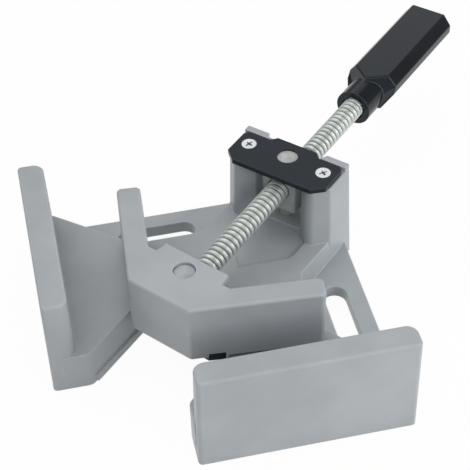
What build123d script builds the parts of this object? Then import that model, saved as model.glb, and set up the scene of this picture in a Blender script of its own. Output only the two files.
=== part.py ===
from build123d import *
from math import cos, radians, sin, sqrt
import os

# Corner clamp: a cast frame with two upright walls at a right angle, an L-shaped jaw between
# them that swivels on an upright pin, and a screw that works through a nut swivelling between
# two posts. The origin is on the underside, on the upright axis of that nut. +Z is up, +X runs
# along the right wall and +Y along the left one. The screw lies on the diagonal between them.

os.makedirs("parts", exist_ok=True)

# Places along the screw, measured from the corner where the walls' inner faces would meet
nut_station = 157.7
jaw_pin_station = 72.35
screw_height = 40.6

# Walls
wall_near = 42.9
wall_far = 138.2
wall_thickness = 11.8
wall_height = 51.4
wall_inner_draft = 0.026
wall_near_lean = 1.0
wall_inner_corner = 5.0
wall_outer_corner = 2.0
cast_edge = 1.0

# Floors and arms
arm_height = 9.4
floor_height = 20.0
arm_edge = 135.6
floor_edge = 107.3
floor_wall_end = 135.6
floor_bend = 36.3
floor_half_width = 27.2
floor_side_taper = 8.0
floor_corner = 5.0
notch_half_width = 26.2
notch_end = 78.0
notch_mouth_corner = 5.0
lip_start = 37.5
lip_proud = 0.8
lip_height = 4.2
bolt_slot_width = 11.1
bolt_slot_line = 122.0
bolt_slot_start = 29.9
bolt_slot_end = 67.9

# Shallow pockets in the underside: ribbed ones under the floor, plain ones round the slots
pocket_depth = 3.2
pocket_side = 6.0
pocket_edge = 104.4
pocket_middle = 19.0
pocket_notch_half = 33.0
pocket_notch_end = 84.0
rib_thickness = 3.6
rib_lines = (28.0, 50.0, 77.0)
slot_pocket_start = 8.0
slot_pocket_inner = 112.0
slot_pocket_outer = 131.6
slot_pocket_corner = 3.0

# Track for the screw, sunk in the work floor in front of the posts
track_floor = 16.4
track_tip = 113.8
track_bend_half = 17.0
track_half_width = 18.0
track_wide_station = 135.0

# Posts, sized at the top, and the channel between them
post_inner = 12.7
post_inner_front = 149.6
post_nose = 19.5
post_nose_station = 142.8
post_nose_radius = 3.0
post_outer = 27.2
post_outer_front = 150.5
post_back = 167.3
post_draft = 1.5
post_edge = 1.0
channel_floor = 21.1
channel_front = 149.1
channel_root_half = 16.0
lip_front = 163.9
lip_inner_front = 14.0
lip_inner_back = 15.7

# Retaining plate
plate_thickness = 2.5
plate_top = 55.1
plate_bottom = plate_top - plate_thickness
plate_half_width = 26.4
plate_front = 142.5
plate_front_half = 20.8
plate_shoulder = 147.6
plate_back_corner = 161.5
plate_back_corner_half = 24.4
plate_back = 163.8
plate_tab_root = 13.2
plate_tab_tip = 10.6
plate_tab_end = 166.8
plate_edge = 0.3

# Countersunk screws
plate_screw_across = 20.0
plate_screw_station = 156.0
plate_screw_head = 3.6
plate_screw_shank = 2.0
plate_screw_length = 14.0
thread_seat = 0.02
screw_tip_gap = 1.0

# Nut, sized at the top
nut_half_depth = 8.7
nut_half_width = 9.4
nut_top = 50.5
nut_bottom = 28.0
nut_draft = 2.5
nut_edge = 1.0
trunnion_radius = 4.92
trunnion_clearance = 0.08
trunnion_top = 54.1
lower_trunnion_radius = 4.0
lower_trunnion_bottom = 12.0
trunnion_end_gap = 0.3
nut_entry_radius = 6.4
nut_entry_depth = 1.2

# Lead screw
screw_radius = 5.25
screw_bore_clearance = 0.06
screw_full_start = 6.6
screw_front_edge = 0.8
screw_end = 262.0
screw_tang_start = 236.0
screw_tang_half = 2.8
neck_radius = 3.0
neck_clearance = 0.05
neck_front = 3.9
neck_groove_radius = 1.95
neck_groove_half = 1.05

# Jaw, in its own directions with the pin at zero
jaw_turn = -4.05
jaw_top = 53.2
jaw_bottom = 23.3
jaw_face = 24.5
jaw_leg_inner = 13.6
jaw_leg_end = 57.5
jaw_front = 18.3
jaw_shoulder_half = 17.0
jaw_shoulder_back = 9.0
jaw_relief = 3.1
jaw_leg_corner = 2.5
jaw_front_corner = 2.0
jaw_edge = 1.2
jaw_pin_radius = 5.0
jaw_pin_clearance = 0.05
jaw_pin_top = 51.9
jaw_pin_recess = 0.2
jaw_pin_edge = 0.4
jaw_window_half_width = 9.2
jaw_window_half_height = 5.9
jaw_window_corner = 5.8

# Lock pin of the screw's end
lock_pin_radius = 1.0
lock_pin_offset = 3.0
lock_pin_top = 44.0
lock_pin_gap = 0.15

# Glide strip let into the jaw's underside
strip_bottom = 20.4
strip_inset = 1.9
strip_front = -12.7
strip_back = -7.3
strip_end_setback = 0.25
strip_slot_gap = 0.05
strip_edge = 0.5
strip_screw_across = 11.0
strip_screw_head = 2.3
strip_screw_shank = 1.25
strip_screw_length = 7.0

# Handle, heights measured from the screw's axis
collar_radius = 9.1
collar_front = 220.6
collar_back = 238.0
collar_recess_radius = 6.3
collar_recess_depth = 1.6
grip_front = 228.5
grip_back = 301.8
grip_half_width = 13.2
grip_top_half = 9.1
grip_top = 11.0
grip_shoulder = 5.5
grip_waist = 1.4
grip_bottom = -4.9
grip_edge = 1.2
grip_nose_station = 232.3
grip_nose_slope_across = 0.786
grip_nose_slope_up = 0.42
grip_cheek_station = 235.95
grip_cheek_slope_across = 0.613
grip_cheek_slope_up = 0.667


def along(station):
    # Distance from the nut's axis along the screw
    return station - nut_station


def level(height):
    # Plane with X across the clamp and Y along the screw, at a height above the underside
    return Plane(origin=(0, 0, height), x_dir=(1, -1, 0), z_dir=(0, 0, 1))


def square_to_screw(station):
    # Upright plane square to the screw: X across the clamp, Y up, origin on the screw's axis
    offset = along(station) / sqrt(2)
    return Plane(origin=(offset, offset, screw_height), x_dir=(-1, 1, 0), z_dir=(1, 1, 0))


corner_offset = nut_station / sqrt(2)


def corner_level(height):
    # Plane whose origin is the corner of the walls, with X and Y along the walls
    return Plane(origin=(-corner_offset, -corner_offset, height))


def on_walls(across, station):
    # The same place in distances along the two walls, from their corner
    return ((station + across) / sqrt(2), (station - across) / sqrt(2))


def jaw_level(height):
    # Plane turned with the jaw, with its origin on the swivel pin
    offset = along(jaw_pin_station) / sqrt(2)
    direction = radians(-45 + jaw_turn)
    return Plane(origin=(offset, offset, height), x_dir=(cos(direction), sin(direction), 0),
                 z_dir=(0, 0, 1))


# Base casting: arms, work floor, walls, posts


wall_root = wall_inner_draft * wall_height


def wall(mirrored):
    # One clamping wall, its inner face leaning back a little and its near end leaning in
    near_end = Plane(origin=(-corner_offset, wall_near - corner_offset, 0), x_dir=(1, 0, 0), z_dir=(0, -1, 0))
    with BuildPart() as body:
        with BuildSketch(near_end):
            with BuildLine():
                Polyline(
                    (-wall_thickness, 0),
                    (wall_root, 0),
                    (0, wall_height),
                    (-wall_thickness, wall_height),
                    close=True,
                )
            make_face()
        extrude(amount=wall_near - wall_far)
        split(bisect_by=Plane(origin=near_end.origin, z_dir=(0, wall_height, -wall_near_lean)), keep=Keep.TOP)
        for corners, radius in ((slice(2, 4), wall_inner_corner), (slice(0, 2), wall_outer_corner)):
            upright = body.edges().filter_by(lambda e: abs(e.tangent_at(0.5).Z) > 0.9).sort_by(Axis.X)
            fillet(upright[corners], radius)
        fillet(body.faces().sort_by(Axis.Z)[-1].edges(), cast_edge)
    if mirrored:
        return mirror(body.part, about=Plane(origin=(0, 0, 0), z_dir=(1, -1, 0)))
    return body.part


def both_sides(points):
    # Points of the left half, joined by the same ones mirrored on the right
    return points + [(second, first) for first, second in reversed(points)]


notch_side = notch_half_width * sqrt(2)
flank_bend = on_walls(-floor_half_width, floor_edge * sqrt(2) - floor_half_width)

with BuildPart(mode=Mode.PRIVATE) as posts:
    for side in (-1, 1):
        # A post with a nose of two facets at the front, drafted from its top down
        with BuildSketch(level(plate_bottom)):
            with BuildLine():
                Polyline(
                    (side * post_inner, along(post_back)),
                    (side * post_inner, along(post_inner_front)),
                    (side * post_nose, along(post_nose_station)),
                    (side * post_outer, along(post_outer_front)),
                    (side * post_outer, along(post_back)),
                    close=True,
                )
            make_face()
            front_to_back = vertices().sort_by(Axis.Y)
            fillet(front_to_back[0], post_nose_radius)
            fillet(vertices().filter_by(lambda v: v.Y < along(lip_front)).sort_by(Axis.Y)[-2:], post_edge)
        extrude(amount=-plate_bottom, taper=-post_draft)
        # Lip behind the plate, level with its top
        with BuildSketch(level(plate_bottom)):
            with BuildLine():
                Polyline(
                    (side * lip_inner_front, along(lip_front)),
                    (side * post_outer, along(lip_front)),
                    (side * post_outer, along(post_back)),
                    (side * lip_inner_back, along(post_back)),
                    close=True,
                )
            make_face()
        extrude(amount=plate_thickness)
        # Threaded hole for the plate's screw
        with BuildSketch(level(plate_bottom)):
            with Locations((side * plate_screw_across, along(plate_screw_station))):
                Circle(plate_screw_shank + thread_seat)
        extrude(amount=-plate_screw_length, mode=Mode.SUBTRACT)
    # Floor of the channel, a step above the work floor
    with BuildSketch(level(0)):
        with Locations((0, along((channel_front + post_back) / 2))):
            Rectangle(2 * channel_root_half, post_back - channel_front)
    extrude(amount=channel_floor)

with BuildPart() as casting:
    # Slotted arms that tie the walls' far ends to the posts
    with BuildSketch(corner_level(0)):
        with BuildLine():
            Polyline(
                *both_sides(
                    [
                        (-wall_thickness / 2, 0),
                        (-wall_thickness / 2, wall_far - wall_outer_corner),
                        (0, wall_far - wall_outer_corner),
                        (wall_root, arm_edge),
                        (arm_edge - post_outer * sqrt(2), arm_edge),
                    ]
                ),
                close=True,
            )
        make_face()
    extrude(amount=arm_height)
    # Raised work floor with drafted flanks
    with BuildSketch(corner_level(floor_height)):
        with BuildLine():
            Polyline(
                *both_sides(
                    [
                        (-wall_thickness / 2, 0),
                        (-wall_thickness / 2, floor_wall_end),
                        (wall_root, floor_wall_end),
                        (floor_bend, floor_edge),
                        flank_bend,
                        on_walls(-floor_half_width, (post_outer_front + post_back) / 2),
                    ]
                ),
                close=True,
            )
        make_face()
        bends = vertices().filter_by(lambda v: min(v.X, v.Y) > wall_root + cast_edge)
        fillet(bends.sort_by(Axis((0, 0, 0), (1, 1, 0)))[:-2], floor_corner)
    extrude(amount=arm_height - floor_height, taper=-floor_side_taper)
    # Open front, from one wall's near end round the notch to the other's
    with BuildSketch(corner_level(0)):
        with BuildLine():
            Polyline(
                *both_sides(
                    [
                        (-wall_thickness, wall_near),
                        (wall_near - notch_side, wall_near),
                        on_walls(-notch_half_width, notch_end),
                    ]
                ),
                (-wall_thickness, -wall_thickness),
                close=True,
            )
        make_face()
        fillet(vertices().filter_by(lambda v: wall_near < v.X + v.Y < 2 * wall_near), notch_mouth_corner)
    extrude(amount=floor_height, mode=Mode.SUBTRACT)
    # Low lip along the foot of the notch
    with BuildSketch(level(0)):
        with BuildLine():
            Polyline(
                (-notch_half_width - lip_proud, along(lip_start)),
                (-notch_half_width - lip_proud, along(notch_end + lip_proud)),
                (notch_half_width + lip_proud, along(notch_end + lip_proud)),
                (notch_half_width + lip_proud, along(lip_start)),
                (notch_half_width - lip_proud, along(lip_start)),
                (notch_half_width - lip_proud, along(notch_end - lip_proud)),
                (-notch_half_width + lip_proud, along(notch_end - lip_proud)),
                (-notch_half_width + lip_proud, along(lip_start)),
                close=True,
            )
        make_face()
    extrude(amount=lip_height)
    # Track for the screw
    with BuildSketch(level(floor_height)):
        with BuildLine():
            Polyline(
                (0, along(track_tip)),
                (track_bend_half, along(track_tip + track_bend_half)),
                (track_half_width, along(track_wide_station)),
                (track_half_width, along(channel_front)),
                (-track_half_width, along(channel_front)),
                (-track_half_width, along(track_wide_station)),
                (-track_bend_half, along(track_tip + track_bend_half)),
                close=True,
            )
        make_face()
    extrude(amount=track_floor - floor_height, mode=Mode.SUBTRACT)
    add(wall(False))
    add(wall(True))
    add(posts.part)
    for turned in (False, True):
        # Slot through the arm for a bench bolt
        middle = (bolt_slot_start + bolt_slot_end) / 2
        place = (bolt_slot_line, middle) if turned else (middle, bolt_slot_line)
        with BuildSketch(corner_level(0)):
            with Locations(place):
                SlotOverall(bolt_slot_end - bolt_slot_start, bolt_slot_width, rotation=90 if turned else 0)
        extrude(amount=floor_height, mode=Mode.SUBTRACT)
        # Pocket round the slot and ribbed pocket under the work floor
        slot_pocket = [
            (slot_pocket_start, slot_pocket_inner),
            (slot_pocket_start, slot_pocket_outer),
            (slot_pocket_outer - post_outer * sqrt(2), slot_pocket_outer),
            (slot_pocket_inner - post_outer * sqrt(2), slot_pocket_inner),
        ]
        floor_pocket = [
            (pocket_side, pocket_side + pocket_notch_half * sqrt(2)),
            (pocket_side, pocket_edge),
            (pocket_edge - pocket_middle * sqrt(2), pocket_edge),
            on_walls(-pocket_middle, pocket_notch_end),
            on_walls(-pocket_notch_half, pocket_notch_end),
        ]
        if turned:
            slot_pocket = [(second, first) for first, second in reversed(slot_pocket)]
            floor_pocket = [(second, first) for first, second in reversed(floor_pocket)]
        with BuildSketch(corner_level(0)):
            with BuildLine():
                Polyline(*slot_pocket, close=True)
            make_face()
            fillet(vertices(), slot_pocket_corner)
        extrude(amount=pocket_depth, mode=Mode.SUBTRACT)
        with BuildSketch(corner_level(0)):
            with BuildLine():
                Polyline(*floor_pocket, close=True)
            make_face()
            for rib in rib_lines:
                with Locations((rib, wall_far / 2)):
                    Rectangle(rib_thickness, wall_far, mode=Mode.SUBTRACT)
                with Locations((wall_far / 2, rib)):
                    Rectangle(wall_far, rib_thickness, mode=Mode.SUBTRACT)
        extrude(amount=pocket_depth, mode=Mode.SUBTRACT)
    # Bore for the nut's lower trunnion
    with BuildSketch(level(channel_floor)):
        Circle(lower_trunnion_radius + trunnion_clearance)
    extrude(amount=lower_trunnion_bottom - trunnion_end_gap - channel_floor, mode=Mode.SUBTRACT)
casting.part.label = "base_casting"
export_step(casting.part, "parts/base_casting.step")


# Black plate over the posts


with BuildPart() as plate:
    with BuildSketch(level(plate_bottom)):
        with BuildLine():
            Polyline(
                (-plate_front_half, along(plate_front)),
                (plate_front_half, along(plate_front)),
                (plate_half_width, along(plate_shoulder)),
                (plate_half_width, along(plate_back_corner)),
                (plate_back_corner_half, along(plate_back)),
                (plate_tab_root, along(plate_back)),
                (plate_tab_tip, along(plate_tab_end)),
                (-plate_tab_tip, along(plate_tab_end)),
                (-plate_tab_root, along(plate_back)),
                (-plate_back_corner_half, along(plate_back)),
                (-plate_half_width, along(plate_back_corner)),
                (-plate_half_width, along(plate_shoulder)),
                close=True,
            )
        make_face()
    extrude(amount=plate_thickness)
    chamfer(plate.faces().sort_by(Axis.Z)[-1].edges(), plate_edge)
    with BuildSketch(level(plate_bottom)):
        Circle(trunnion_radius + trunnion_clearance)
    extrude(amount=plate_thickness, mode=Mode.SUBTRACT)
    with Locations(
        level(plate_top) * Pos(-plate_screw_across, along(plate_screw_station)),
        level(plate_top) * Pos(plate_screw_across, along(plate_screw_station)),
    ):
        CounterSinkHole(plate_screw_shank + thread_seat, plate_screw_head + thread_seat, depth=plate_thickness)
plate.part.label = "retaining_plate"
export_step(plate.part, "parts/retaining_plate.step")


# Countersunk screws


def countersunk_screw(head, shank, length):
    # A plain screw standing on its tip side down, its flat head at zero
    with BuildPart(mode=Mode.PRIVATE) as screw:
        with BuildSketch(Plane.XZ):
            with BuildLine():
                Polyline((0, 0), (head, 0), (shank, shank - head), (shank, -length), (0, -length), close=True)
            make_face()
        revolve(axis=Axis.Z)
    return screw.part


for side, name in ((-1, "plate_screw_left"), (1, "plate_screw_right")):
    with BuildPart() as plate_screw:
        with Locations(level(plate_top) * Pos(side * plate_screw_across, along(plate_screw_station))):
            reach = plate_thickness + plate_screw_length - screw_tip_gap
            add(countersunk_screw(plate_screw_head, plate_screw_shank, reach))
    plate_screw.part.label = name
    export_step(plate_screw.part, "parts/" + name + ".step")


# Nut with its two trunnions


with BuildPart() as nut:
    with BuildSketch(level(nut_top)):
        Rectangle(2 * nut_half_width, 2 * nut_half_depth)
    extrude(amount=nut_bottom - nut_top, taper=nut_draft)
    fillet(nut.edges(), nut_edge)
    with BuildSketch(level(nut_bottom)):
        Circle(lower_trunnion_radius)
    extrude(amount=lower_trunnion_bottom - nut_bottom)
    with BuildSketch(level(nut_top)):
        Circle(trunnion_radius)
    extrude(amount=trunnion_top - nut_top)
    with BuildSketch(square_to_screw(nut_station)):
        Circle(screw_radius + screw_bore_clearance)
    extrude(amount=nut_half_depth, both=True, mode=Mode.SUBTRACT)
    for face in (-1, 1):
        with BuildSketch(square_to_screw(nut_station + face * (nut_half_depth - nut_entry_depth))):
            Circle(screw_radius + screw_bore_clearance)
        with BuildSketch(square_to_screw(nut_station + face * nut_half_depth)):
            Circle(nut_entry_radius)
        loft(mode=Mode.SUBTRACT)
nut.part.label = "trunnion_nut"
export_step(nut.part, "parts/trunnion_nut.step")


# Lead screw: plain at the thread's crest diameter, turned down at both ends


with BuildPart() as lead_screw:
    with BuildSketch(square_to_screw(jaw_pin_station + screw_full_start)):
        Circle(screw_radius)
    extrude(amount=screw_tang_start - jaw_pin_station - screw_full_start)
    chamfer(lead_screw.edges().sort_by(Axis.Y)[0], screw_front_edge)
    with BuildSketch(square_to_screw(screw_tang_start)):
        Circle(screw_radius)
        Rectangle(2 * screw_radius, 2 * screw_tang_half, mode=Mode.INTERSECT)
    extrude(amount=screw_end - screw_tang_start)
    with BuildSketch(square_to_screw(jaw_pin_station - neck_front)):
        Circle(neck_radius)
    extrude(amount=screw_full_start + neck_front)
    with BuildSketch(square_to_screw(jaw_pin_station - neck_groove_half)):
        Circle(neck_radius)
        Circle(neck_groove_radius, mode=Mode.SUBTRACT)
    extrude(amount=2 * neck_groove_half, mode=Mode.SUBTRACT)
lead_screw.part.label = "lead_screw"
export_step(lead_screw.part, "parts/lead_screw.step")


# Swivel pin and the pin that holds the screw's end in it


swivel_bottom = jaw_bottom + jaw_pin_recess

with BuildPart() as swivel_pin:
    with BuildSketch(jaw_level(swivel_bottom)):
        Circle(jaw_pin_radius)
    extrude(amount=jaw_pin_top - swivel_bottom)
    chamfer(swivel_pin.edges(), jaw_pin_edge)
    with BuildSketch(square_to_screw(jaw_pin_station)):
        Circle(neck_radius + neck_clearance)
    extrude(amount=jaw_pin_radius, both=True, mode=Mode.SUBTRACT)
    with BuildSketch(level(swivel_bottom)):
        with Locations((lock_pin_offset, along(jaw_pin_station))):
            Circle(lock_pin_radius)
    extrude(amount=lock_pin_top - swivel_bottom, mode=Mode.SUBTRACT)
swivel_pin.part.label = "jaw_swivel_pin"
export_step(swivel_pin.part, "parts/jaw_swivel_pin.step")

with BuildPart() as lock_pin:
    with BuildSketch(level(swivel_bottom + lock_pin_gap)):
        with Locations((lock_pin_offset, along(jaw_pin_station))):
            Circle(lock_pin_radius)
    extrude(amount=lock_pin_top - swivel_bottom - lock_pin_gap)
lock_pin.part.label = "screw_lock_pin"
export_step(lock_pin.part, "parts/screw_lock_pin.step")


# Jaw


def jaw_spot(first, second):
    # A place given by its distances from the pin along the jaw's two legs
    return ((first - second) / sqrt(2), (first + second) / sqrt(2))


strip_middle = (strip_front + strip_back) / 2


with BuildPart() as jaw:
    with BuildSketch(jaw_level(jaw_bottom)):
        with BuildLine():
            Polyline(
                (jaw_face * sqrt(2) - jaw_front, -jaw_front),
                jaw_spot(jaw_leg_end, -jaw_face),
                jaw_spot(jaw_leg_end, -jaw_leg_inner),
                (jaw_relief + jaw_leg_inner * sqrt(2), jaw_relief),
                (jaw_shoulder_half + cast_edge, jaw_relief),
                (jaw_shoulder_half, jaw_shoulder_back),
                (-jaw_shoulder_half, jaw_shoulder_back),
                (-jaw_shoulder_half - cast_edge, jaw_relief),
                (-jaw_relief - jaw_leg_inner * sqrt(2), jaw_relief),
                jaw_spot(-jaw_leg_inner, jaw_leg_end),
                jaw_spot(-jaw_face, jaw_leg_end),
                (-jaw_face * sqrt(2) + jaw_front, -jaw_front),
                close=True,
            )
        make_face()
    extrude(amount=jaw_top - jaw_bottom)
    uprights = jaw.edges().filter_by(Axis.Z)
    leg_ends = uprights.sort_by(Axis.X)[-2:] + uprights.sort_by(Axis.Y)[-2:]
    fillet(leg_ends, jaw_leg_corner)
    uprights = jaw.edges().filter_by(Axis.Z)
    fillet(uprights.sort_by(Axis((0, 0, 0), (1, 1, 0)))[:2], jaw_front_corner)
    fillet(jaw.faces().sort_by(Axis.Z)[-1].edges(), jaw_edge)
    with BuildSketch(jaw_level(jaw_bottom)):
        Circle(jaw_pin_radius + jaw_pin_clearance)
    extrude(amount=jaw_top - jaw_bottom, mode=Mode.SUBTRACT)
    # Window at the back where the screw comes in, wide enough for the jaw to swivel
    back = jaw_level(screw_height)
    with BuildSketch(Plane(origin=back.origin, x_dir=-back.x_dir, z_dir=back.y_dir)):
        RectangleRounded(2 * jaw_window_half_width, 2 * jaw_window_half_height, jaw_window_corner)
    extrude(amount=2 * jaw_shoulder_back, mode=Mode.SUBTRACT)
    # Slot across the underside for the glide strip
    with BuildSketch(jaw_level(jaw_bottom)):
        with Locations((0, strip_middle)):
            Rectangle(2 * jaw_leg_end, strip_back - strip_front + 2 * strip_slot_gap)
    extrude(amount=strip_inset, mode=Mode.SUBTRACT)
    with BuildSketch(jaw_level(jaw_bottom)):
        with Locations((-strip_screw_across, strip_middle), (strip_screw_across, strip_middle)):
            Circle(strip_screw_shank + thread_seat)
    extrude(amount=strip_inset + strip_screw_length, mode=Mode.SUBTRACT)
jaw.part.label = "moving_jaw"
export_step(jaw.part, "parts/moving_jaw.step")


# Glide strip under the jaw and its two screws


def strip_end(back):
    # Half length of the strip, whose ends run along the jaw's two faces
    return jaw_face * sqrt(2) + back - strip_end_setback * sqrt(2)


strip_thickness = jaw_bottom + strip_inset - strip_bottom
strip_screw_spots = [
    jaw_level(strip_bottom) * Pos(side * strip_screw_across, strip_middle) * Rot(180, 0, 0) for side in (-1, 1)
]

with BuildPart() as strip:
    with BuildSketch(jaw_level(strip_bottom)):
        with BuildLine():
            Polyline(
                (-strip_end(strip_front), strip_front),
                (strip_end(strip_front), strip_front),
                (strip_end(strip_back), strip_back),
                (-strip_end(strip_back), strip_back),
                close=True,
            )
        make_face()
    extrude(amount=strip_thickness)
    fillet(strip.faces().sort_by(Axis.Z)[0].edges(), strip_edge)
    with Locations(*strip_screw_spots):
        CounterSinkHole(strip_screw_shank + thread_seat, strip_screw_head + thread_seat, depth=strip_thickness)
strip.part.label = "jaw_glide_strip"
export_step(strip.part, "parts/jaw_glide_strip.step")

with BuildPart() as strip_screws:
    with Locations(*strip_screw_spots):
        reach = strip_thickness + strip_screw_length - screw_tip_gap
        add(countersunk_screw(strip_screw_head, strip_screw_shank, reach))
strip_screws.part.label = "glide_strip_screws"
export_step(strip_screws.part, "parts/glide_strip_screws.step")


# Handle: round collar running into a flat-sided grip


def nose_plane(station, slope_across, slope_up):
    # Sloping facet of the grip's upper end, through a station on its top middle line
    offset = along(station) / sqrt(2)
    return Plane(
        origin=(offset, offset, screw_height + grip_top),
        z_dir=((1 - slope_across) / sqrt(2), (1 + slope_across) / sqrt(2), -slope_up),
    )


def grip_half(nose):
    # Right half of the grip behind one facet
    with BuildPart(mode=Mode.PRIVATE) as half:
        with BuildSketch(square_to_screw(grip_front)):
            with BuildLine():
                Polyline(
                    (0, grip_bottom),
                    (-grip_top_half, grip_bottom),
                    (-grip_half_width, grip_waist),
                    (-grip_half_width, grip_shoulder),
                    (-grip_top_half, grip_top),
                    (0, grip_top),
                    close=True,
                )
            make_face()
        extrude(amount=grip_back - grip_front)
        split(bisect_by=nose, keep=Keep.TOP)
    return half.part


with BuildPart(mode=Mode.PRIVATE) as grip:
    # An upper facet and a lower cheek meet in a crease, both sloping back from a middle ridge
    add(grip_half(nose_plane(grip_nose_station, grip_nose_slope_across, grip_nose_slope_up)))
    add(grip_half(nose_plane(grip_cheek_station, grip_cheek_slope_across, grip_cheek_slope_up)))
    outer = grip.edges().filter_by(lambda e: abs(e.center().X - e.center().Y) > 0.01)
    fillet(outer, grip_edge)
    mirror(about=Plane(origin=(0, 0, 0), z_dir=(1, -1, 0)))

with BuildPart() as handle:
    add(grip.part)
    with BuildSketch(square_to_screw(collar_front)):
        Circle(collar_radius)
    extrude(amount=collar_back - collar_front)
    with BuildSketch(square_to_screw(collar_front)):
        Circle(collar_recess_radius)
    extrude(amount=collar_recess_depth, mode=Mode.SUBTRACT)
    # Socket moulded round the screw's flattened end
    with BuildSketch(square_to_screw(collar_front)):
        Circle(screw_radius + thread_seat)
    extrude(amount=screw_tang_start - collar_front, mode=Mode.SUBTRACT)
    with BuildSketch(square_to_screw(screw_tang_start)):
        Circle(screw_radius + thread_seat)
        Rectangle(2 * collar_radius, 2 * (screw_tang_half + thread_seat), mode=Mode.INTERSECT)
    extrude(amount=screw_end - screw_tang_start, mode=Mode.SUBTRACT)
handle.part.label = "handle"
export_step(handle.part, "parts/handle.step")
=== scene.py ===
import math

import bmesh
import bpy
from mathutils import Matrix, Vector


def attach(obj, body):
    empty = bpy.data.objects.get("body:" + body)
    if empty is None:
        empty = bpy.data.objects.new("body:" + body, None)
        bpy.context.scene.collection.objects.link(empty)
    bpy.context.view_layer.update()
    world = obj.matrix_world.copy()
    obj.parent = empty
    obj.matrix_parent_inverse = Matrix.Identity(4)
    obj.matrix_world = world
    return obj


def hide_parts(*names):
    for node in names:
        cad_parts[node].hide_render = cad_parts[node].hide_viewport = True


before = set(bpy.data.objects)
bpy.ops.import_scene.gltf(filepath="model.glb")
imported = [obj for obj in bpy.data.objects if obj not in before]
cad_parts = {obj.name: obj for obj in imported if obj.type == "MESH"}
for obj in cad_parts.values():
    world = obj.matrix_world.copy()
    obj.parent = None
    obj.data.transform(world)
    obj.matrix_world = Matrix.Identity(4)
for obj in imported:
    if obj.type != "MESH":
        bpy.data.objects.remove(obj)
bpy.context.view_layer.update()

MM = 0.001

# Places shared with the CAD, in millimetres
NUT_STATION = 157.7
PIN_STATION = 72.35
SCREW_HEIGHT = 40.6
SCREW_START = 6.6
SCREW_END_STATION = 236.0
SCREW_RADIUS = 5.25
PLATE_TOP = 55.1
PLATE_SCREW_ACROSS = 20.0
PLATE_SCREW_STATION = 156.0
PLATE_SCREW_HEAD_RADIUS = 3.6
PLATE_SCREW_SHANK_RADIUS = 2.0
PLATE_SCREW_LENGTH = 15.5
TRACK_TIP = 113.8
TRACK_BEND_HALF = 17.0
TRACK_HALF_WIDTH = 18.0
TRACK_WIDE_STATION = 135.0
TRACK_END = 149.1
TRACK_FLOOR = 16.4
WORK_FLOOR = 20.0

# Rolled thread: lengths in millimetres, the seam's depth as a share of the thread's
THREAD_PITCH = 3.0
THREAD_DEPTH = 0.95
THREAD_RUN_IN = 1.2
SEAM_DEPTH_SHARE = 0.3

# The thread's profile, as shares of half a pitch
SEAM_HALF_WIDTH = 0.24
CREST_HALF_WIDTH = 0.46
FLANK_WIDTH = 0.36

# Plate screws: heights and depths at the head, in millimetres
RIM_TOP_DEPTH = 0.12
RIM_FOOT_DEPTH = 0.3
CONE_EXTRA_DEPTH = 0.2
RECESS_OVERRUN = 0.3

# Plate screws: shares of the head's radius
FLAT_SHARE = 0.94
RECESS_HALF_LENGTH = 0.62
RECESS_HALF_WIDTH = 0.13
RECESS_DEPTH = 0.5

# Plate screws: the recess's length at its bottom as a share of the top's, and its turns in radians
RECESS_TAPER = 0.45
LEFT_RECESS_TURN = 0.5
RIGHT_RECESS_TURN = 0.2

# Steps in the round meshes
THREAD_ROUND_STEPS = 56
THREAD_STEPS_PER_TURN = 18
HEAD_STEPS = 48

# Fill that makes the track as shallow as in the photo, in millimetres
TRACK_DEPTH = 1.6
TRACK_BURY = 0.3

# Studio: the floor's half side in metres, its bounce and its white share, the world's strength
FLOOR_HALF_SIDE = 3.0
FLOOR_BOUNCE = 0.9
FLOOR_WHITE_SHARE = 0.96
WORLD_STRENGTH = 0.34
WHITE = (1, 1, 1, 1)

# Camera, fitted to the photo: place in metres, angles in degrees, lens and sensor in millimetres
CAMERA_PLACE = (-0.11965, -0.48265, 0.47718)
CAMERA_YAW = -10.978
CAMERA_PITCH = 43.513
CAMERA_ROLL = -1.922
CAMERA_LENS = 107.65
CAMERA_SENSOR_WIDTH = 36.0

# Directions: along the screw towards its handle, across it, and up
ALONG = Vector((1, 1, 0)).normalized()
ACROSS = Vector((1, -1, 0)).normalized()
UP = Vector((0, 0, 1))


def diagonal(across, station, height):
    """A point given across the clamp, along the screw and up, in the row's frame and metres."""
    along = station - NUT_STATION
    root = math.sqrt(2)
    return Vector(((across + along) / root, (along - across) / root, height)) * MM


# Node helpers


MIX_FACTOR_INPUT = 0
MIX_FIRST_INPUT = 6
MIX_SECOND_INPUT = 7
MIX_COLOUR_OUTPUT = 2
BEVEL_SAMPLES = 6
# Painted edge highlight: how sharply it rises where an edge turns, and its greatest share
EDGE_HIGHLIGHT_SHARPNESS = 0.03
EDGE_HIGHLIGHT_SHARE = 0.5


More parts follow.
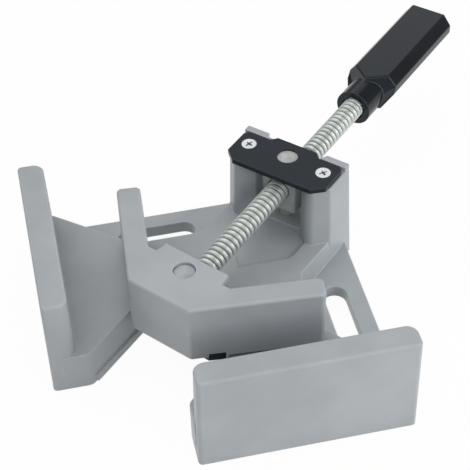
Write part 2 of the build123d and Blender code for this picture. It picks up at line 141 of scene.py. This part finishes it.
class Shader:
    """Builds one procedural material, node by node."""

    def __init__(self, name):
        self.material = bpy.data.materials.new(name)
        self.material.use_nodes = True
        self.tree = self.material.node_tree
        self.tree.nodes.clear()
        self.output = self.add("ShaderNodeOutputMaterial")

    def add(self, kind, inputs=(), **settings):
        node = self.tree.nodes.new(kind)
        for key, value in settings.items():
            setattr(node, key, value)
        for key, value in dict(inputs).items():
            self.put(node, key, value)
        return node

    def put(self, node, key, value):
        socket = node.inputs[key]
        if isinstance(value, bpy.types.NodeSocket):
            self.tree.links.new(value, socket)
        else:
            socket.default_value = value

    def place(self):
        return self.add("ShaderNodeTexCoord").outputs["Object"]

    def noise(self, scale, detail, roughness=0.55):
        node = self.add("ShaderNodeTexNoise", {"Scale": scale, "Detail": detail, "Roughness": roughness})
        self.put(node, "Vector", self.place())
        return node.outputs["Fac"]

    def ramp(self, value, low, high, from_low=0.0, from_high=1.0):
        node = self.add(
            "ShaderNodeMapRange",
            {"Value": value, "From Min": from_low, "From Max": from_high, "To Min": low, "To Max": high},
        )
        return node.outputs["Result"]

    def mix(self, factor, first, second):
        """A colour between two, by the mix node's colour sockets, whose names repeat."""
        node = self.add("ShaderNodeMix", data_type="RGBA")
        self.put(node, MIX_FACTOR_INPUT, factor)
        self.put(node, MIX_FIRST_INPUT, first)
        self.put(node, MIX_SECOND_INPUT, second)
        return node.outputs[MIX_COLOUR_OUTPUT]

    def bump(self, height, strength, distance, normal):
        node = self.add("ShaderNodeBump", {"Strength": strength, "Distance": distance, "Height": height})
        self.put(node, "Normal", normal)
        return node.outputs["Normal"]

    def soft_edge(self, radius):
        return self.add("ShaderNodeBevel", {"Radius": radius}, samples=BEVEL_SAMPLES).outputs["Normal"]

    def paint_edge_highlight(self, tone, bevelled, highlight_tone):
        """The tone, with a painted highlight where a softened edge turns away from its face."""
        face = self.add("ShaderNodeNewGeometry").outputs["Normal"]
        turn = self.add("ShaderNodeVectorMath", {0: bevelled, 1: face}, operation="DOT_PRODUCT")
        mask = self.ramp(turn.outputs["Value"], 0.0, 1.0, from_low=1.0, from_high=1.0 - EDGE_HIGHLIGHT_SHARPNESS)
        return self.mix(self.ramp(mask, 0.0, EDGE_HIGHLIGHT_SHARE), tone, highlight_tone)

    def principled(self, **inputs):
        named = {key.replace("_", " "): value for key, value in inputs.items()}
        node = self.add("ShaderNodeBsdfPrincipled", named)
        self.tree.links.new(node.outputs["BSDF"], self.output.inputs["Surface"])
        return self.material


def colour(red, green, blue):
    """A linear colour from the 0 to 255 values that it shows, by the sRGB formula."""
    parts = []
    for part in (red, green, blue):
        part /= 255
        parts.append(part / 12.92 if part <= 0.04045 else ((part + 0.055) / 1.055) ** 2.4)
    return (*parts, 1.0)


# Materials


PALE_GRAIN = colour(210, 214, 218)
# Painted highlight colours along softened edges, on the grey coat and on black
PALE_EDGE_HIGHLIGHT = colour(214, 218, 221)
BLACK_EDGE_HIGHLIGHT = colour(92, 97, 104)
COOL_SHEEN = (0.82, 0.92, 1.0, 1.0)
# Painted shade in the thread's roots
ROOT_SHADE = colour(88, 92, 90)
# Painted shade in the screws' cross recesses
RECESS_SHADE = colour(78, 80, 83)

# Wear on black, in steps of 255, and the share of the thread's depth that takes the painted root shade
BLACK_WEAR = 8
ROOT_SHADE_REACH = 0.5

# The recess's painted shade goes from light to dark between these depths below the plate's top, in
# millimetres
RECESS_SHADE_TOP = 0.2
RECESS_SHADE_BOTTOM = 1.1


def cast_material(name, base, pale):
    """Satin grey coat over a die casting: faint mottling, fine grain, softened edges with painted
    highlights.
    """
    shader = Shader(name)
    cloud = shader.noise(scale=28.0, detail=3.0)
    fine = shader.noise(scale=900.0, detail=3.0, roughness=0.6)
    tone = shader.mix(shader.ramp(cloud, 0.0, 1.0, from_low=0.35, from_high=0.65), base, pale)
    tone = shader.mix(shader.ramp(fine, 0.0, 0.12), tone, PALE_GRAIN)
    edge = shader.soft_edge(radius=0.8 * MM)
    # Painted highlight along the softened edges
    tone = shader.paint_edge_highlight(tone, edge, PALE_EDGE_HIGHLIGHT)
    swell = shader.noise(scale=140.0, detail=3.0)
    ripple = shader.bump(swell, strength=0.12, distance=0.4 * MM, normal=edge)
    grain = shader.bump(fine, strength=0.18, distance=0.1 * MM, normal=ripple)
    gloss = shader.ramp(fine, 0.3, 0.44)
    return shader.principled(Base_Color=tone, Roughness=gloss, Normal=grain, Specular_IOR_Level=0.5)


def black_material(name, shade, roughness, radius, specular):
    """Black plated steel or moulded plastic, with slight wear in its gloss and painted highlights along
    its edges.
    """
    shader = Shader(name)
    cloud = shader.noise(scale=60.0, detail=4.0)
    fine = shader.noise(scale=1500.0, detail=2.0)
    worn = [part + BLACK_WEAR for part in shade]
    patches = shader.ramp(cloud, 0.0, 1.0, from_low=0.3, from_high=0.7)
    tone = shader.mix(patches, colour(*shade), colour(*worn))
    edge = shader.soft_edge(radius)
    # Painted highlight along the softened edges
    tone = shader.paint_edge_highlight(tone, edge, BLACK_EDGE_HIGHLIGHT)
    grain = shader.bump(fine, strength=0.05, distance=0.04 * MM, normal=edge)
    gloss = shader.ramp(cloud, *roughness, from_low=0.3, from_high=0.7)
    return shader.principled(
        Base_Color=tone, Roughness=gloss, Normal=grain,
        Specular_IOR_Level=specular, Specular_Tint=COOL_SHEEN,
    )


def paint_root_shade(shader, tone):
    """The tone, with painted shade near the thread's root, measured from the screw's axis."""
    foot = (0, 0, SCREW_HEIGHT * MM)
    offset = shader.add("ShaderNodeVectorMath", {0: shader.place(), 1: foot}, operation="SUBTRACT")
    sides = {0: offset.outputs["Vector"], 1: ALONG}
    arm = shader.add("ShaderNodeVectorMath", sides, operation="CROSS_PRODUCT")
    reach = shader.add("ShaderNodeVectorMath", {0: arm.outputs["Vector"]}, operation="LENGTH")
    root = (SCREW_RADIUS - THREAD_DEPTH) * MM
    lit = root + ROOT_SHADE_REACH * THREAD_DEPTH * MM
    light = shader.ramp(reach.outputs["Value"], 0.0, 1.0, from_low=root, from_high=lit)
    return shader.mix(light, ROOT_SHADE, tone)


def paint_recess_shade(shader, tone):
    """The tone, with painted shade inside the recess of a plate screw, measured down from the plate's top.
    """
    height = shader.add("ShaderNodeSeparateXYZ", {0: shader.place()}).outputs["Z"]
    dark = (PLATE_TOP - RECESS_SHADE_BOTTOM) * MM
    lit = (PLATE_TOP - RECESS_SHADE_TOP) * MM
    light = shader.ramp(height, 0.0, 1.0, from_low=dark, from_high=lit)
    return shader.mix(light, RECESS_SHADE, tone)


def metal_material(name, first, second, roughness, grain, metallic, darken=None):
    """Plated steel with fine tooling marks and uneven tint, and painted shade where a darken step is
    given.
    """
    shader = Shader(name)
    cloud = shader.noise(scale=220.0, detail=4.0)
    marks = shader.noise(scale=grain, detail=2.0)
    tone = shader.mix(shader.ramp(cloud, 0.0, 1.0, from_low=0.35, from_high=0.65), first, second)
    if darken is not None:
        # Painted shade, where a darken step is given
        tone = darken(shader, tone)
    edge = shader.soft_edge(radius=0.2 * MM)
    rub = shader.bump(marks, strength=0.15, distance=0.05 * MM, normal=edge)
    gloss = shader.ramp(marks, *roughness)
    return shader.principled(Base_Color=tone, Metallic=metallic, Roughness=gloss, Normal=rub)


cast_grey = cast_material("cast_body_coat", colour(155, 160, 164), colour(167, 172, 176))
black_plate = black_material(
    "black_steel_coat", (27, 30, 36), roughness=(0.26, 0.36), radius=0.3 * MM, specular=0.26
)
grip_black = black_material(
    "grip_moulding", (12, 15, 20), roughness=(0.12, 0.2), radius=0.6 * MM, specular=0.36
)
bright_zinc = metal_material(
    "bright_zinc_plating", colour(240, 242, 244), colour(222, 225, 228),
    roughness=(0.3, 0.46), grain=2400.0, metallic=0.6,
)
# Screw heads with painted shade in their cross recesses
head_zinc = metal_material(
    "screw_head_plating", colour(238, 240, 242), colour(222, 225, 228),
    roughness=(0.32, 0.46), grain=2400.0, metallic=0.6, darken=paint_recess_shade,
)
pin_steel = metal_material(
    "dull_pin_steel", colour(176, 180, 183), colour(158, 162, 165),
    roughness=(0.4, 0.56), grain=1800.0, metallic=0.3,
)
nut_plating = metal_material(
    "dull_nut_plating", colour(186, 189, 186), colour(166, 170, 167),
    roughness=(0.38, 0.54), grain=1800.0, metallic=0.1,
)
# Screw thread with painted shade in its roots
thread_steel = metal_material(
    "screw_plating", colour(218, 223, 219), colour(198, 204, 199),
    roughness=(0.34, 0.48), grain=1600.0, metallic=0.62, darken=paint_root_shade,
)

NODE_MATERIALS = {
    "base_casting": cast_grey,
    "moving_jaw": cast_grey,
    "jaw_swivel_pin": pin_steel,
    "screw_lock_pin": bright_zinc,
    "jaw_glide_strip": black_plate,
    "glide_strip_screws": bright_zinc,
    "trunnion_nut": nut_plating,
    "retaining_plate": black_plate,
    "handle": grip_black,
    "lead_screw": thread_steel,
    "plate_screw_left": head_zinc,
    "plate_screw_right": head_zinc,
}
for node_name, material in NODE_MATERIALS.items():
    for material_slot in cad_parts[node_name].material_slots:
        material_slot.material = material


# Object helpers


def add_object(name, data):
    """A new object in the scene with this mesh, camera or light."""
    obj = bpy.data.objects.new(name, data)
    bpy.context.scene.collection.objects.link(obj)
    return obj


def mesh_object(name, vertices, faces, material, smooth=True):
    """An object with one material, made of points and faces."""
    mesh = bpy.data.meshes.new(name)
    mesh.from_pydata(vertices, [], faces)
    mesh.validate()
    for polygon in mesh.polygons:
        polygon.use_smooth = smooth
    mesh.materials.append(material)
    return add_object(name, mesh)


# Lead screw with its rolled thread


def thread_profile(phase):
    """Share of the thread's depth at a place in its pitch: crest with its rolled seam, narrow root."""
    distance = abs((phase % 1.0) - 0.5) * 2
    seam = SEAM_DEPTH_SHARE * max(0, 1 - distance / SEAM_HALF_WIDTH)
    flank = min(1, max(0, (distance - CREST_HALF_WIDTH) / FLANK_WIDTH))
    return 1 - seam - flank


def screw_rings():
    """Distance along the screw and how much of the thread shows there."""
    start = PIN_STATION + SCREW_START
    length = SCREW_END_STATION - start
    count = int(length / THREAD_PITCH * THREAD_STEPS_PER_TURN)
    for step in range(count + 1):
        station = start + length * step / count
        yield station, min(1, (station - start) / THREAD_RUN_IN)


def thread_ring(station, fullness):
    """Points round the screw at one station, from UP towards ACROSS: the right-hand sense about ALONG."""
    centre = diagonal(0, station, SCREW_HEIGHT)
    for step in range(THREAD_ROUND_STEPS):
        turn = 2 * math.pi * step / THREAD_ROUND_STEPS
        phase = station / THREAD_PITCH - step / THREAD_ROUND_STEPS
        radius = SCREW_RADIUS - THREAD_DEPTH * (1 - thread_profile(phase) * fullness)
        yield centre + (UP * math.cos(turn) + ACROSS * math.sin(turn)) * radius * MM


def lead_screw_thread():
    """The threaded length of the spindle as one closed mesh."""
    vertices = []
    for station, fullness in screw_rings():
        vertices += thread_ring(station, fullness)
    last_ring = len(vertices) - THREAD_ROUND_STEPS
    faces = []
    for first in range(0, last_ring, THREAD_ROUND_STEPS):
        second = first + THREAD_ROUND_STEPS
        for step in range(THREAD_ROUND_STEPS):
            following = (step + 1) % THREAD_ROUND_STEPS
            faces.append((first + step, second + step, second + following, first + following))
    faces.append(tuple(range(THREAD_ROUND_STEPS)))
    faces.append(tuple(reversed(range(last_ring, len(vertices)))))
    return mesh_object("lead_screw_thread", vertices, faces, thread_steel)


thread = lead_screw_thread()
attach(thread, "spindle")
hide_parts("lead_screw")


# Track in the work floor, shallower in the photo than in the CAD


def track_fill():
    """A closed block that brings the track's floor up, buried a little in the casting all round."""
    outline = [(0, TRACK_TIP - TRACK_BURY)]
    for side in (1, -1):
        stretch = [
            (side * (TRACK_BEND_HALF + TRACK_BURY), TRACK_TIP + TRACK_BEND_HALF),
            (side * (TRACK_HALF_WIDTH + TRACK_BURY), TRACK_WIDE_STATION),
            (side * (TRACK_HALF_WIDTH + TRACK_BURY), TRACK_END + TRACK_BURY),
        ]
        outline += stretch if side == 1 else reversed(stretch)
    low = [diagonal(across, station, TRACK_FLOOR - TRACK_BURY) for across, station in outline]
    high = [diagonal(across, station, WORK_FLOOR - TRACK_DEPTH) for across, station in outline]
    count = len(outline)
    faces = [tuple(range(count)), tuple(reversed(range(count, 2 * count)))]
    for step in range(count):
        following = (step + 1) % count
        faces.append((step, step + count, following + count, following))
    return mesh_object("base_casting_track_floor", low + high, faces, cast_grey, smooth=False)


fill = track_fill()
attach(fill, "base")


# Countersunk plate screws with cross recesses


def tapered_bar(tool, half_length, half_width, top, bottom, turn):
    """One bar of a cross recess, narrowing downwards, its width half as much as its length."""
    corners = []
    for height, share in ((top, 1.0), (bottom, RECESS_TAPER)):
        width_share = (1 + share) / 2
        for x, y in ((-1, -1), (1, -1), (1, 1), (-1, 1)):
            spot = Vector((x * half_length * share, y * half_width * width_share, height)) * MM
            corners.append(tool.verts.new(Matrix.Rotation(turn, 3, "Z") @ spot))
    high = corners[:4]
    low = corners[4:]
    tool.faces.new(high)
    tool.faces.new(list(reversed(low)))
    for step in range(4):
        following = (step + 1) % 4
        tool.faces.new((high[following], high[step], low[step], low[following]))


def form_object(name, form):
    """Makes an object of a bmesh and frees the bmesh."""
    mesh = bpy.data.meshes.new(name)
    form.to_mesh(mesh)
    form.free()
    return add_object(name, mesh)


def screw_blank(name, head, shank, length):
    """A countersunk screw without its recess, round about Z, the top of its head at the origin."""
    profile = [
        (head * FLAT_SHARE, 0),
        (head, -RIM_TOP_DEPTH),
        (head, -RIM_FOOT_DEPTH),
        (shank, shank - head - CONE_EXTRA_DEPTH),
        (shank, -length),
    ]
    form = bmesh.new()
    rings = []
    for radius, height in profile:
        ring = []
        for step in range(HEAD_STEPS):
            angle = 2 * math.pi * step / HEAD_STEPS
            spot = Vector((radius * math.cos(angle), radius * math.sin(angle), height)) * MM
            ring.append(form.verts.new(spot))
        rings.append(ring)
    form.faces.new(rings[0])
    for upper, lower in zip(rings, rings[1:]):
        for step in range(HEAD_STEPS):
            following = (step + 1) % HEAD_STEPS
            form.faces.new((upper[following], upper[step], lower[step], lower[following]))
    form.faces.new(list(reversed(rings[-1])))
    return form_object(name, form)


def recess_cutter(name, head, turn):
    """Two crossed bars that cut the recess into a head of this radius."""
    tool = bmesh.new()
    for quarter in (0, math.pi / 2):
        tapered_bar(
            tool, head * RECESS_HALF_LENGTH, head * RECESS_HALF_WIDTH,
            RECESS_OVERRUN, -head * RECESS_DEPTH, turn + quarter,
        )
    return form_object(name, tool)


def cross_head_screw(name, place, turn):
    """A plate screw that stands upright with the top of its head at the place."""
    screw = screw_blank(name, PLATE_SCREW_HEAD_RADIUS, PLATE_SCREW_SHANK_RADIUS, PLATE_SCREW_LENGTH)
    cutter = recess_cutter(name + "_recess", PLATE_SCREW_HEAD_RADIUS, turn)
    cut = screw.modifiers.new("recess", "BOOLEAN")
    cut.operation = "DIFFERENCE"
    cut.solver = "EXACT"
    cut.use_self = True
    cut.object = cutter
    graph = bpy.context.evaluated_depsgraph_get()
    finished = bpy.data.meshes.new_from_object(screw.evaluated_get(graph))
    bpy.data.objects.remove(cutter)
    screw.modifiers.clear()
    screw.data = finished
    finished.materials.clear()
    finished.materials.append(head_zinc)
    finished.transform(Matrix.Translation(place))
    return screw


for side, side_name, turn in ((-1, "left", LEFT_RECESS_TURN), (1, "right", RIGHT_RECESS_TURN)):
    place = diagonal(side * PLATE_SCREW_ACROSS, PLATE_SCREW_STATION, PLATE_TOP)
    screw = cross_head_screw("plate_screw_head_" + side_name, place, turn)
    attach(screw, "base")
    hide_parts("plate_screw_" + side_name)


# Camera, lights and floor


def add_camera():
    camera = add_object("camera", bpy.data.cameras.new("camera"))
    camera.data.lens = CAMERA_LENS
    camera.data.sensor_width = CAMERA_SENSOR_WIDTH
    turn = (
        Matrix.Rotation(math.radians(CAMERA_YAW), 4, "Z")
        @ Matrix.Rotation(math.radians(90 - CAMERA_PITCH), 4, "X")
        @ Matrix.Rotation(math.radians(CAMERA_ROLL), 4, "Z")
    )
    camera.matrix_world = Matrix.Translation(CAMERA_PLACE) @ turn
    bpy.context.scene.camera = camera


def add_area(name, place, target, size, power):
    light = bpy.data.lights.new(name, "AREA")
    light.shape = "RECTANGLE"
    light.size, light.size_y = size
    light.energy = power
    obj = add_object(name, light)
    obj.location = place
    direction = Vector(target) - Vector(place)
    obj.rotation_euler = direction.to_track_quat("-Z", "Y").to_euler()


def add_floor():
    shader = Shader("studio_floor")
    rays = shader.add("ShaderNodeLightPath").outputs
    seen = rays["Is Camera Ray"]
    for ray in ("Is Glossy Ray", "Is Transmission Ray"):
        seen = shader.add("ShaderNodeMath", {0: seen, 1: rays[ray]}, operation="MAXIMUM").outputs[0]
    share = shader.add("ShaderNodeMath", {0: seen, 1: FLOOR_WHITE_SHARE}, operation="MULTIPLY")
    matt = shader.add("ShaderNodeBsdfDiffuse", {"Color": (FLOOR_BOUNCE, FLOOR_BOUNCE, FLOOR_BOUNCE, 1)})
    glow = shader.add("ShaderNodeEmission", {"Color": WHITE, "Strength": 1.0})
    both = shader.add("ShaderNodeMixShader", {0: share.outputs[0], 1: matt.outputs[0], 2: glow.outputs[0]})
    shader.tree.links.new(both.outputs[0], shader.output.inputs["Surface"])
    side = FLOOR_HALF_SIDE
    corners = [(-side, -side, 0), (side, -side, 0), (side, side, 0), (-side, side, 0)]
    floor = mesh_object("studio_floor", corners, [(0, 1, 2, 3)], shader.material, smooth=False)


def set_world():
    world = bpy.data.worlds.new("studio")
    bpy.context.scene.world = world
    world.use_nodes = True
    background = world.node_tree.nodes["Background"]
    background.inputs["Color"].default_value = WHITE
    background.inputs["Strength"].default_value = WORLD_STRENGTH


add_camera()
add_floor()
set_world()
add_area("key", place=(-0.3, 0.2, 1.0), target=(0, 0, 0), size=(1.3, 1.3), power=6.6)
add_area("fill", place=(0.1, -0.9, 0.5), target=(0, 0, 0), size=(0.8, 0.5), power=2.0)
add_area("side", place=(0.75, -0.6, 0.35), target=(0, 0, 0), size=(0.8, 0.6), power=4.2)
add_area("back", place=(0.35, 0.9, 0.7), target=(0.08, 0.08, 0.05), size=(0.7, 0.5), power=0.75)
bpy.context.scene.view_settings.view_transform = "Standard"
